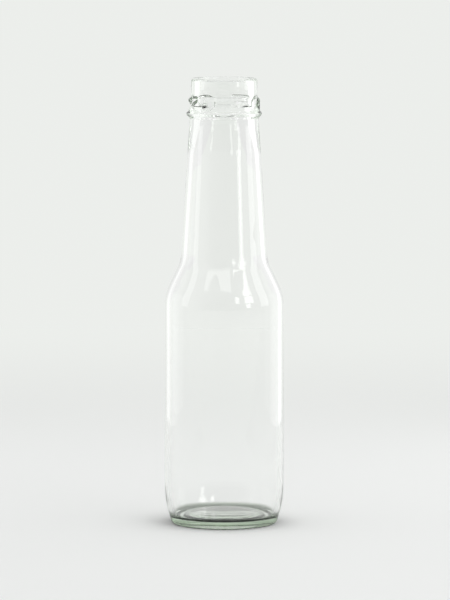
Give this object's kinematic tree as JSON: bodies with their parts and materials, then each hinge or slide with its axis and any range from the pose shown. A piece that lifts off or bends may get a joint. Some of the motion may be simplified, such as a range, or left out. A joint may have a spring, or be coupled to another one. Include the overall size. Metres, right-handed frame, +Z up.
{
  "type": "round glass sauce or oil bottle",
  "caption": "Empty clear glass bottle with a round body, sloped shoulder, long tapering neck, beaded lug finish for a twist-off cap and a knurled foot.",
  "frame": {"origin": "centre of the circle that the bottle stands on", "axes": "+Z up along the bottle's axis, -Y towards the front"},
  "size_m": [0.0624, 0.0624, 0.2344],
  "materials": {
    "glass": "clear and smooth, with a faint green tint where it is thick"
  },
  "bodies": {
    "root": {"bottle": "glass"}
  },
  "joints": []
}
